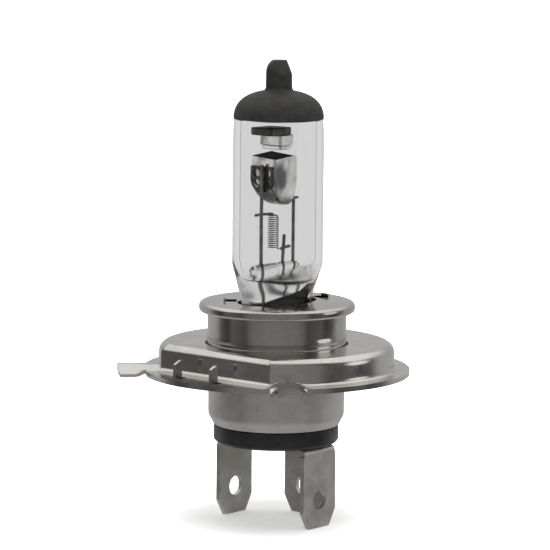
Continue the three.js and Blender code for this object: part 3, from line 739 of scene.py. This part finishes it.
def make_terminal(name):
    """A blanked strip: tapered tip, locking hole, and a foot bent in under the insulator."""
    face, half, tip, top = blade_frame(name)
    bend, taper = 0.7, 2.7
    tip_half, foot_half = half * 0.6125, half - 0.2
    neck = top - bend - 0.2
    side = [(half, neck - 0.2), (half, tip + taper), (tip_half, tip)]
    side += [(-u, v) for u, v in reversed(side)]
    shoulder = [(-foot_half, neck), (foot_half, neck)]
    blade = prism(side + shoulder, face - BLADE_SHEET, face, lambda u, v, w: (w, u, v))
    inside = face - BLADE_SHEET
    bent = [(face - FOOT_LENGTH, top - BLADE_SHEET), (inside - 0.15, top - BLADE_SHEET)]
    bent += [(inside, top - BLADE_SHEET - 0.2), (inside, top - 1.4), (face, top - 1.4)]
    bent += arc(face - bend, top - bend, bend, 0, 90, 6) + [(face - FOOT_LENGTH, top)]
    foot = prism(bent, -foot_half, foot_half, lambda u, v, w: (u, w, v))
    turn = about_z(TERMINALS[name])
    piece = outward(mesh_object(f"{name}_blade", *moved(blade, turn), terminal_steel))
    combined(piece, outward(mesh_object("foot", *moved(foot, turn), terminal_steel)), "UNION")
    locking = rod(LOCKING_RADIUS, -3, 3, 64)
    stand = Matrix.Translation((face, 0, tip + LOCKING_HEIGHT)) @ Matrix.Rotation(math.radians(90), 4, "Y")
    x, y = wire_end(name)
    hole = rod(0.45, top - 3, top + 1)
    cut(piece, moved(locking, turn @ stand), moved(hole, Matrix.Translation((x, y, 0))))
    bevelled(piece, 0.09, 3).data.shade_flat()
    place(piece, "terminal_metal", f"{name}_terminal")


def make_solder(name):
    low, high = span(f"{name}_solder_joint")
    reach = (high.x - low.x) / 2
    profile = [(0, low.z), (0.35 * reach, low.z + 0.02), (0.7 * reach, low.z + 0.14)]
    profile += [(0.9 * reach, low.z + 0.34), (0.99 * reach, high.z - 0.05), (0.97 * reach, high.z)]
    profile.append((0, high.z))
    x, y = wire_end(name)
    part = moved(lathe(profile, 48), Matrix.Translation((x, y, 0)))
    place(mesh_object(f"{name}_solder_bead", *part, solder_metal), "solder", f"{name}_solder_joint")


make_sleeve()
make_plate()
make_shell()
make_insulator()
for terminal in TERMINALS:
    make_terminal(terminal)
    make_solder(terminal)


# ---------------------------------------------------------------- glass and its black tip

tip_low, tip_high = span("tip_coating")
GLASS_RADIUS = 7.3
COATING_EDGE = tip_low.z
COATING_RADIUS = 7.25
TIP_TOP = tip_high.z
DOME_RISE = 4.7
DOME_POWER = 1 / 1.2
TIP_RADIUS = 2.12
WALL = 1.25
TUBE_SIDES = 128
PINCH_HALF = (7.2, 1.75)
PINCH_BOTTOM = -1
PINCH_TOP = 10.6
TAPER_TOP = 17.3
CAVITY_FLOOR = 14.4


def squared(value, power):
    return math.copysign(abs(value) ** (2 / power), value)


def section(z, inset=0.0):
    """The tube's section at a height: round above the taper, and a flat rounded bar in the pinch."""
    round_part = smoothstep((z - PINCH_TOP) / (TAPER_TOP - PINCH_TOP))
    along = PINCH_HALF[0] + (GLASS_RADIUS - PINCH_HALF[0]) * round_part - inset
    across = PINCH_HALF[1] + (GLASS_RADIUS - PINCH_HALF[1]) * round_part - inset
    power = 2 + 2.4 * (1 - round_part) ** 2
    unit = circle(1, z, TUBE_SIDES)
    return [(along * squared(x, power), across * squared(y, power), z) for x, y, z in unit]


def lofted(rings):
    """A closed skin through rings of equal length, lowest first."""
    count = len(rings[0])
    verts = [v for ring in rings for v in ring]
    faces = [tuple(reversed(range(count))), tuple(range(len(verts) - count, len(verts)))]
    for k in range(len(rings) - 1):
        faces += band(range(k * count, (k + 1) * count), range((k + 1) * count, (k + 2) * count), count)
    return verts, faces


def dome_outline(offset):
    """The domed end and its sealed-off tip, drawn in by an offset, from the coating's edge to the axis."""
    radius, rise, tip = COATING_RADIUS - offset, DOME_RISE - offset, TIP_RADIUS - offset
    meet = math.acos(((tip + 0.35) / radius) ** (1 / DOME_POWER))
    dome = [(radius * math.cos(a) ** DOME_POWER, COATING_EDGE + rise * math.sin(a) ** DOME_POWER)
            for a in [meet * i / 18 for i in range(19)]]
    shoulder = dome[-1][1]
    top = TIP_TOP - offset
    neck = [(tip + 0.12, shoulder + 0.18), (tip, shoulder + 0.5)]
    climb = top - 0.55 - (shoulder + 0.5)
    neck += [(tip - 0.06 * i / 14, shoulder + 0.5 + climb * i / 14) for i in range(1, 14)]
    crown = [(tip - 0.07, top - 0.5), (tip - 0.15, top - 0.25), (tip - 0.32, top - 0.08), (tip - 0.55, top),
             (tip * 0.5, top), (tip * 0.25, top), (0, top)]
    return [*dome, *neck, *crown]


def make_glass():
    """The tube with its pinch, and the sealed hollow inside it."""
    heights = [PINCH_BOTTOM + 0.3, 6, PINCH_TOP, *[PINCH_TOP + 0.25 * i for i in range(1, 27)], TAPER_TOP]
    outer = [[(x * 0.985, y * 0.9, z) for x, y, z in section(PINCH_BOTTOM)], *[section(z) for z in heights]]
    outer += [circle(GLASS_RADIUS, z, TUBE_SIDES) for z in (19, 24, 30, 36)]
    tube_end = [(GLASS_RADIUS - 0.06, 38.5), (7.14, COATING_EDGE), *dome_outline(0.12)[1:24]]
    outer += [circle(r, z, TUBE_SIDES) for r, z in tube_end]
    floor = [(0.3, 0), (0.7, 0.02), (0.9, 0.12), (1, 0.4)]
    base = section(CAVITY_FLOOR - 0.6, WALL - 0.1)
    inner = [[(x * f, y * f, CAVITY_FLOOR + rise) for x, y, z in base] for f, rise in floor]
    for i in range(12):
        ring = section(CAVITY_FLOOR - 0.1 + 0.3 * i, WALL)
        inner.append([(x, y, z + 0.6) for x, y, z in ring])
    inner += [circle(GLASS_RADIUS - WALL, z, TUBE_SIDES) for z in (19, 24, 30, 36, 38.5)]
    for i in range(11):
        a = math.radians(8 * i)
        end = COATING_EDGE - 0.6 + 3.8 * math.sin(a)
        inner.append(circle((GLASS_RADIUS - WALL) * math.cos(a), end, TUBE_SIDES))
    hollow_verts, hollow_faces = lofted(inner)
    skin = joined(lofted(outer), (hollow_verts, [tuple(reversed(face)) for face in hollow_faces]))
    glass = mesh_object("glass_tube_and_pinch", *moved(skin, about_z(PINCH_ANGLE)), envelope_look, 60)
    place(glass, "clear_glass", "glass_envelope")


VIEW_RIGHT = Vector((0.766, 0.643, 0))
VIEW_TOWARD = Vector((0.643, -0.766, 0))
# Ground faces of the sealed tip: how each one faces, along VIEW_RIGHT, VIEW_TOWARD and up, and its distance.
TIP_FACES = [
    ((0.923, 0.0, 0.383), 20.1),
    ((-0.66, 0.1, 0.745), 37.5),
    ((-0.90, 0.1, 0.42), 22.05),
    ((0.45, 0.75, 0.485), 24.72),
    ((-0.35, 0.8, 0.49), 25.35),
]


def make_coating():
    """The paint follows the glass, stops at a slightly uneven edge, and covers the tip's ground faces."""
    outer = dome_outline(0)
    inner = [(0, TIP_TOP - 1.6), (1.3, TIP_TOP - 1.7), (1.3, outer[18][1] + 0.3)]
    inner += reversed(dome_outline(0.08)[:18])
    edge = [(outer[0][0] - 0.02, COATING_EDGE + 0.02)]
    verts, faces = lathe([*inner, *edge, *outer[1:]], 160)
    shaped = []
    for vert in verts:
        point = Vector(vert)
        angle = math.atan2(point.y, point.x)
        low = smoothstep((COATING_EDGE + 0.5 - point.z) / 0.5)
        point.z += low * 0.05 * (1 + math.sin(3 * angle + 0.6) * 0.6 + math.sin(7 * angle) * 0.4)
        for (across, near, up), distance in TIP_FACES:
            normal = VIEW_RIGHT * across + VIEW_TOWARD * near + Vector((0, 0, up))
            beyond = normal.dot(point) - distance
            if beyond > 0 and point.z > COATING_EDGE + DOME_RISE:
                point -= normal * beyond / normal.length_squared
        shaped.append(point)
    coating = mesh_object("black_tip_coating", shaped, faces, coating_look, 50)
    place(coating, "black_coating", "tip_coating")


make_glass()
make_coating()


# ---------------------------------------------------------------- wires, bridge, filaments and shield

WIRE_RADIUS = 0.28
COIL_WIRE = 0.07
LEADS = {"common": -3.7, "high_beam": 0.5, "low_beam": 3.65}
HIGH_BEAM_LEAN = 0.083
LEAD_FOOT = 9.1
BRIDGE_RADIUS = 1.3
BRIDGE_SWELL = 0.08
BRIDGE_ENDS = (-5.6, 4.7)
BRIDGE_HEIGHT = 15.85


def along_pinch(distance):
    a = math.radians(PINCH_ANGLE)
    return distance * math.cos(a), distance * math.sin(a)


def lead_at(name, z):
    """Where a lead is at a height: only the high beam's leans."""
    lean = HIGH_BEAM_LEAN if name == "high_beam" else 0
    return Vector((*along_pinch(LEADS[name] + lean * (z - LEAD_FOOT)), z))


def lead_path(name, *heights):
    return [lead_at(name, z) for z in heights]


def make_wires():
    """Molybdenum posts, from the pinch up through the bridge. The common one carries the shield."""
    support_low, support_high = span("shield_support_wire")
    foot, top = support_low.z, support_high.z
    back = support_low.y + WIRE_RADIUS
    upper = [(0.35, back, 24), (0.4, back, 28), (0.4, back, top)]
    support = tube(smooth_path([*lead_path("common", foot, 13, 17.8), *upper]), WIRE_RADIUS)
    place(mesh_object("shield_support_post", *support, wire_metal), "molybdenum", "shield_support_wire")
    top = span("low_beam_inner_lead")[1].z
    x, y = along_pinch(LEADS["low_beam"])
    post = tube(lead_path("low_beam", foot, 18, top), WIRE_RADIUS)
    stub = tube([(x - 0.1, y - 0.35, top - 0.35), (x + 0.42, y + 0.75, top - 0.25)], 0.22, 12)
    place(mesh_object("low_beam_post", *joined(post, stub), wire_metal), "molybdenum", "low_beam_inner_lead")
    top = span("high_beam_inner_lead")[1].z
    short = tube(lead_path("high_beam", foot, 15, top), WIRE_RADIUS)
    place(mesh_object("high_beam_post", *short, wire_metal), "molybdenum", "high_beam_inner_lead")


def make_bridge():
    """A fused glass rod across the three wires, swollen a little where it has run onto each of them."""
    start, end = BRIDGE_ENDS
    half, centre = (end - start) / 2, (start + end) / 2
    profile = [(0, start)]
    leaning = LEADS["high_beam"] + HIGH_BEAM_LEAN * (BRIDGE_HEIGHT - LEAD_FOOT)
    places = [LEADS["common"], leaning, LEADS["low_beam"]]
    for i in range(1, 100):
        s = centre + half * math.sin(math.radians(90 * (i / 50 - 1)))
        fall = 1 - (abs(s - centre) / half) ** 16
        swell = sum(BRIDGE_SWELL * math.exp(-((s - wire) / 0.45) ** 2) for wire in places)
        profile.append(((BRIDGE_RADIUS - BRIDGE_SWELL) * fall ** 0.5 + swell * fall, s))
    profile.append((0, end))
    stand = (Matrix.Translation((0, 0, BRIDGE_HEIGHT)) @ about_z(PINCH_ANGLE)
             @ Matrix.Rotation(math.radians(90), 4, "Y"))
    piece = mesh_object("quartz_bridge_rod", *moved(lathe(profile, 48), stand), bridge_look, 60)
    place(piece, "clear_glass", "quartz_bridge")


def coil(x, y, radius, bottom, top, turns=17, steps=24):
    count = turns * steps
    return [Vector((x + radius * math.cos(math.tau * i / steps), y + radius * math.sin(math.tau * i / steps),
                    bottom + (top - bottom) * i / count)) for i in range(count + 1)]


def make_filaments():
    """Two coils with thick wound tails where the real ones are clamped to their posts: at both ends of the
    high beam's coil and at the start of the low beam's.
    """
    body = coil(-0.28, -0.78, 0.83, 19.4, 24.8, 18)
    end = smooth_path([body[-1], (0.3, -1.4, 25.0), (0.1, -1.9, 25.1), (-0.4, -3.1, 25.1),
                       (-0.9, -4.5, 25.0)], 6)
    start = smooth_path([(0.62, 2.3, 19.6), (0.6, 1.3, 19.55), (0.68, 0.2, 19.4), body[0]], 6)
    parts = [tube([*start[:-1], *body, *end[1:]], COIL_WIRE, 8)]
    parts += [wound(end[7:], 0.23), wound(start[:14], 0.25)]
    place(mesh_object("high_beam_coil", *joined(*parts), coil_metal), "tungsten", "high_beam_filament")
    body = coil(0, 0, 0.55, 28.3, 33.4)
    low = lead_at("low_beam", 27.35)
    start = smooth_path([(low.x + 0.3, low.y - 0.5, 27.35), (0.5, 2.0, 27.4), (0.62, 0.6, 27.8), body[0]], 6)
    end = smooth_path([body[-1], (0.3, -0.9, 33.6), (0.05, -2.4, 33.6), (0, -3.2, 33.6)], 6)
    parts = [tube([*start[:-1], *body, *end[1:]], COIL_WIRE, 8), wound(start[:8], 0.19)]
    place(mesh_object("low_beam_coil", *joined(*parts), coil_metal), "tungsten", "low_beam_filament")


def wound(path, radius, pitch=0.16):
    """A filament's tail: fine wire wound close around a core, drawn as a ribbed bar along a path."""
    path = [Vector(p) for p in path]
    lengths = [0.0]
    for a, b in zip(path, path[1:]):
        lengths.append(lengths[-1] + (b - a).length)
    steps = max(8, int(lengths[-1] / pitch * 4))
    fine = []
    for i in range(steps + 1):
        want = lengths[-1] * i / steps
        k = max(j for j in range(len(path) - 1) if lengths[j] <= want + 1e-9)
        t = (want - lengths[k]) / max(1e-9, lengths[k + 1] - lengths[k])
        fine.append(path[k].lerp(path[k + 1], t))
    verts, faces = tube(fine, radius, 12)
    ribbed = []
    for index, v in enumerate(verts):
        station = min(max(index // 12 - 1, 0), steps)
        rib = 1 - 0.22 * (station % 4 == 2)
        ribbed.append(fine[station].lerp(Vector(v), rib))
    return ribbed, faces


def top_tilt(x, y, half):
    """How far the shield's sloping top lies above or below its level height at a point."""
    return 0.075 * (y - x - half)


def make_shield():
    """A drawn cup, open towards +Y and at its top, whose lower end closes like a spoon. Its dark inner skin
    and the black lid across its top are painted shade.
    """
    low, high = span("low_beam_shield")
    half, mouth, back = high.x, high.y, low.y
    corner, end_rise = 0.6, 4.6
    u_shape = [(-half, mouth), (-half, mouth - 1.2), (-half, 0), (-half, back + corner + 0.8)]
    u_shape += arc(-half + corner, back + corner, corner, 180, 270, 8)
    u_shape += [(-0.8, back), (0, back), (0.8, back)]
    u_shape += arc(half - corner, back + corner, corner, 270, 360, 8)
    u_shape += [(half, back + corner + 0.8), (half, 0), (half, mouth - 1.2), (half, mouth)]
    straight = high.z - low.z - end_rise
    stations = [(high.z - straight * t, 1, 1) for t in (0, 0.25, 0.5, 0.75, 1)]
    for i in range(1, 17):
        a = math.radians(5.5 * i)
        stations.append((low.z + end_rise * (1 - math.sin(a)), math.cos(a) ** 0.75, math.cos(a) ** 0.9))
    verts, faces = [], []
    count = len(u_shape)
    for z, wide, deep in stations:
        verts += [(x * wide, mouth + (y - mouth) * deep, z) for x, y in u_shape]
    for k in range(len(stations) - 1):
        upper, lower = range(k * count, (k + 1) * count), range((k + 1) * count, (k + 2) * count)
        faces += band(lower, upper, count, closed=False)
    verts = [(x, y, z + top_tilt(x, y, half) * smoothstep((z - high.z + 1.6) / 1.6)) for x, y, z in verts]
    # The second skin is drawn in just inside the cup in the dark sheet and is painted shade of the cup's
    # inside.
    for name, look, thickness, drawn in (("cup", creased_look, 0.12, 0), ("shade_lining", dark_sheet_and_shade, 0.1, 0.13)):
        skin = mesh_object(f"low_beam_shield_{name}", verts, faces, look, 40)
        drawn_in(skin, drawn)
        solidify = skin.modifiers.new("sheet", "SOLIDIFY")
        solidify.thickness = thickness * MM
        solidify.offset = -1
        apply_modifiers(skin, 40)
        place(skin, "molybdenum_sheet", *(["low_beam_shield"] if name == "cup" else []))
    # Painted shade: a flat black lid just inside the cup's open top stands in for the shade inside the cup.
    inner = half - 0.25
    plan = [(inner, mouth - 0.05), (-inner, mouth - 0.05), *arc(-inner + 0.35, back + 0.6, 0.35, 180, 270, 6),
            *arc(inner - 0.35, back + 0.6, 0.35, 270, 360, 6)]
    lid_verts, lid_faces = slab(plan, high.z - 0.33, high.z - 0.08)
    lid_verts = [(x, y, z + top_tilt(x, y, half)) for x, y, z in lid_verts]
    lid = outward(mesh_object("low_beam_shield_shade_lid", lid_verts, lid_faces, shade_lid_look))
    place(lid, "molybdenum_sheet")


def drawn_in(obj, distance):
    """Moves an open skin's vertices inwards along their normals."""
    normals = [Vector(v.normal) for v in obj.data.vertices]
    for vert, normal in zip(obj.data.vertices, normals):
        vert.co -= normal * distance * MM


def make_weld_plate():
    """The perforated strip that is welded between the cup's back and its post."""
    low, high = span("shield_weld_plate")
    half, top, foot = high.x, high.z, low.z
    outline = [(half, top - 0.15), (half - 0.15, top), (-half + 0.15, top), (-half, top - 0.15)]
    outline += arc(0, foot + half, half, 180, 360, 24)
    plate = prism(outline, low.y, high.y, lambda u, v, w: (u, w, v))
    piece = outward(mesh_object("perforated_weld_plate", *plate, dark_sheet_and_shade))
    holes = []
    for x in (-1.12, 1.12):
        for z in (30.15, 31.8):
            stand = Matrix.Translation((x, low.y, z)) @ Matrix.Rotation(math.radians(90), 4, "X")
            holes.append(moved(rod(0.68, -1, 1, 32), stand))
    cut(piece, *holes)
    place(bevelled(piece, 0.04), "molybdenum_sheet", "shield_weld_plate")


def make_baffle():
    """The stepped cap above the shield: a dark brim, a bright collar below it, and a neck down to the cup."""
    high = span("shield_baffle")[1]
    half, step = high.x, high.z - 1.2
    layers = {
        "brim": (rounded(half, 2.6, 0.7), -1.8, step, high.z, dark_sheet_and_shade, (0.16, 4)),
        "collar": (rounded(half - 0.02, 1.75, 0.6), -0.45, step - 1.7, step - 0.05, creased_look, (0.16, 4)),
        "neck": (rounded(half - 0.2, 1.45, 0.5), -0.45, step - 2.35, step - 1.75, sheet_metal, (0.1, 3)),
    }
    for name, (outline, shift, bottom, top, look, edge) in layers.items():
        part = moved(slab(outline, bottom, top), Matrix.Translation((0, shift, 0)))
        piece = outward(mesh_object(f"shield_baffle_{name}", *part, look))
        place(bevelled(piece, *edge), "molybdenum_sheet", *(["shield_baffle"] if name == "brim" else []))


def rounded(half_x, half_y, corner):
    """A rectangle with round corners."""
    points = []
    for x, y, start in ((1, 1, 0), (-1, 1, 90), (-1, -1, 180), (1, -1, 270)):
        points += arc(x * (half_x - corner), y * (half_y - corner), corner, start, start + 90, 6)
    return points


make_wires()
make_bridge()
make_filaments()
make_shield()
make_weld_plate()
make_baffle()


# ---------------------------------------------------------------- pieces kept from the frame

kept = {"pinch_clip": wire_metal}
for lead in TERMINALS:
    kept[f"{lead}_foil"] = sheet_metal
    kept[f"{lead}_outer_lead"] = wire_metal
for node, look in kept.items():
    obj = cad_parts[node]
    obj.data.materials.clear()
    obj.data.materials.append(look)


# ---------------------------------------------------------------- floor, light and camera

VIEW_AZIMUTH = 40.0
CAMERA_REACH = 542.6
CAMERA_HEIGHT = 89.8
LENS = 222.8
AIM_HEIGHT = 15.0
AIM_ASIDE = -0.37
ROLL = 0.5
FLOOR_SIZE = 4000


def view_directions():
    """Level directions towards the camera and to its right."""
    a = math.radians(VIEW_AZIMUTH)
    return Vector((math.sin(a), -math.cos(a), 0)), Vector((math.cos(a), math.sin(a), 0))


def make_camera():
    data = bpy.data.cameras.new("camera")
    data.lens = LENS
    data.sensor_width = 36
    data.clip_start = 0.01
    data.clip_end = 20
    camera = bpy.data.objects.new("camera", data)
    bpy.context.scene.collection.objects.link(camera)
    toward, right = view_directions()
    camera.location = (toward * CAMERA_REACH + Vector((0, 0, CAMERA_HEIGHT))) * MM
    aim = (right * AIM_ASIDE + Vector((0, 0, AIM_HEIGHT))) * MM
    look = (aim - camera.location).to_track_quat("-Z", "Y")
    camera.rotation_mode = "QUATERNION"
    camera.rotation_quaternion = look @ Matrix.Rotation(math.radians(ROLL), 3, "Z").to_quaternion()
    bpy.context.scene.camera = camera


def make_floor():
    look = Look("pale_floor")
    tone = look.mix(look.noise(40, 3), grey(0.93), grey(0.96))
    look.set(Base_Color=tone, Roughness=0.9, Emission_Color=(1, 1, 1, 1), Emission_Strength=0.4)
    foot = cad_box[0].z / MM - 0.02
    corners = [(x * FLOOR_SIZE, y * FLOOR_SIZE, foot) for x, y in ((-1, -1), (1, -1), (1, 1), (-1, 1))]
    floor = mesh_object("floor", corners, [(0, 1, 2, 3)], look.material)
    floor.visible_glossy = False
    floor.visible_transmission = False


# Brightness of the room from straight behind the bulb (0) round to the camera (1).
ROOM = [(0.0, 0.50), (0.26, 0.42), (0.38, 0.12), (0.51, 0.05), (0.60, 0.14), (0.80, 0.08), (0.88, 0.20),
        (1.0, 0.24)]
ROOM_THROUGH_GLASS = [(0.0, 0.70), (0.125, 0.70), (0.14, 0.35), (0.155, 0.35), (0.17, 0.70), (0.36, 0.70),
                      (0.42, 0.48), (0.56, 0.74), (0.70, 0.66), (0.86, 0.34), (1.0, 0.30)]
CEILING = (1.0, 1.0, 0.98, 1)
CEILING_THROUGH_GLASS = (0.72, 0.72, 0.71, 1)
CEILING_SETBACK = 0.9
GROUND = (0.36, 0.36, 0.35, 1)


def make_world():
    """A studio that only metal and glass see: grey behind, dark at the sides and bright overhead."""
    world = bpy.data.worlds.new("studio")
    world.use_nodes = True
    bpy.context.scene.world = world
    room = Nodes(world.node_tree)
    direction = room.node("ShaderNodeTexCoord").outputs["Generated"]
    height = room.height(direction)
    toward = view_directions()[0]
    path = room.node("ShaderNodeLightPath").outputs
    through_glass = path["Is Transmission Ray"]
    level = room.vector("NORMALIZE", room.vector("MULTIPLY", direction, (1, 1, 0)))
    around = room.math("MULTIPLY_ADD", room.dot(level, toward), 0.5, 0.5)
    walls = room.mix(through_glass, room.ramp(around, ROOM), room.ramp(around, ROOM_THROUGH_GLASS))
    in_front = room.math("MAXIMUM", room.dot(direction, toward), 0)
    lowered = room.math("MULTIPLY_ADD", in_front, -CEILING_SETBACK, height)
    ceiling = room.mix(through_glass, CEILING, CEILING_THROUGH_GLASS)
    above = room.mix(room.spread(lowered, 0.30, 0.62), walls, ceiling)
    whole = room.mix(room.spread(height, -0.35, -0.75), above, GROUND)
    seen = room.mix(path["Is Camera Ray"], whole, (1, 1, 1, 1))
    room.fill(world.node_tree.nodes["Background"].inputs["Color"], seen)


def soft_light(name, position, size, energy):
    """A round soft light that faces the bulb. Its position and size are in metres."""
    data = bpy.data.lights.new(name, "AREA")
    data.shape = "DISK"
    data.size = size
    data.energy = energy
    light = bpy.data.objects.new(name, data)
    light.location = position
    light.rotation_euler = Vector(position).to_track_quat("Z", "Y").to_euler()
    light.visible_transmission = False
    bpy.context.scene.collection.objects.link(light)
    return light


def make_lights():
    """A wide light overhead, which keeps the floor white, and a small one at the right for the metal."""
    soft_light("overhead", (0.15, -0.1, 1.1), 1.2, 20).visible_glossy = False
    toward, right = view_directions()
    beside = toward * 0.04 + right * 0.5 + Vector((0, 0, 0.10))
    soft_light("side", beside, 0.25, 0.15).visible_camera = False


make_camera()
make_floor()
make_world()
make_lights()
bpy.context.scene.view_settings.view_transform = "Standard"
bpy.context.scene.view_settings.look = "None"
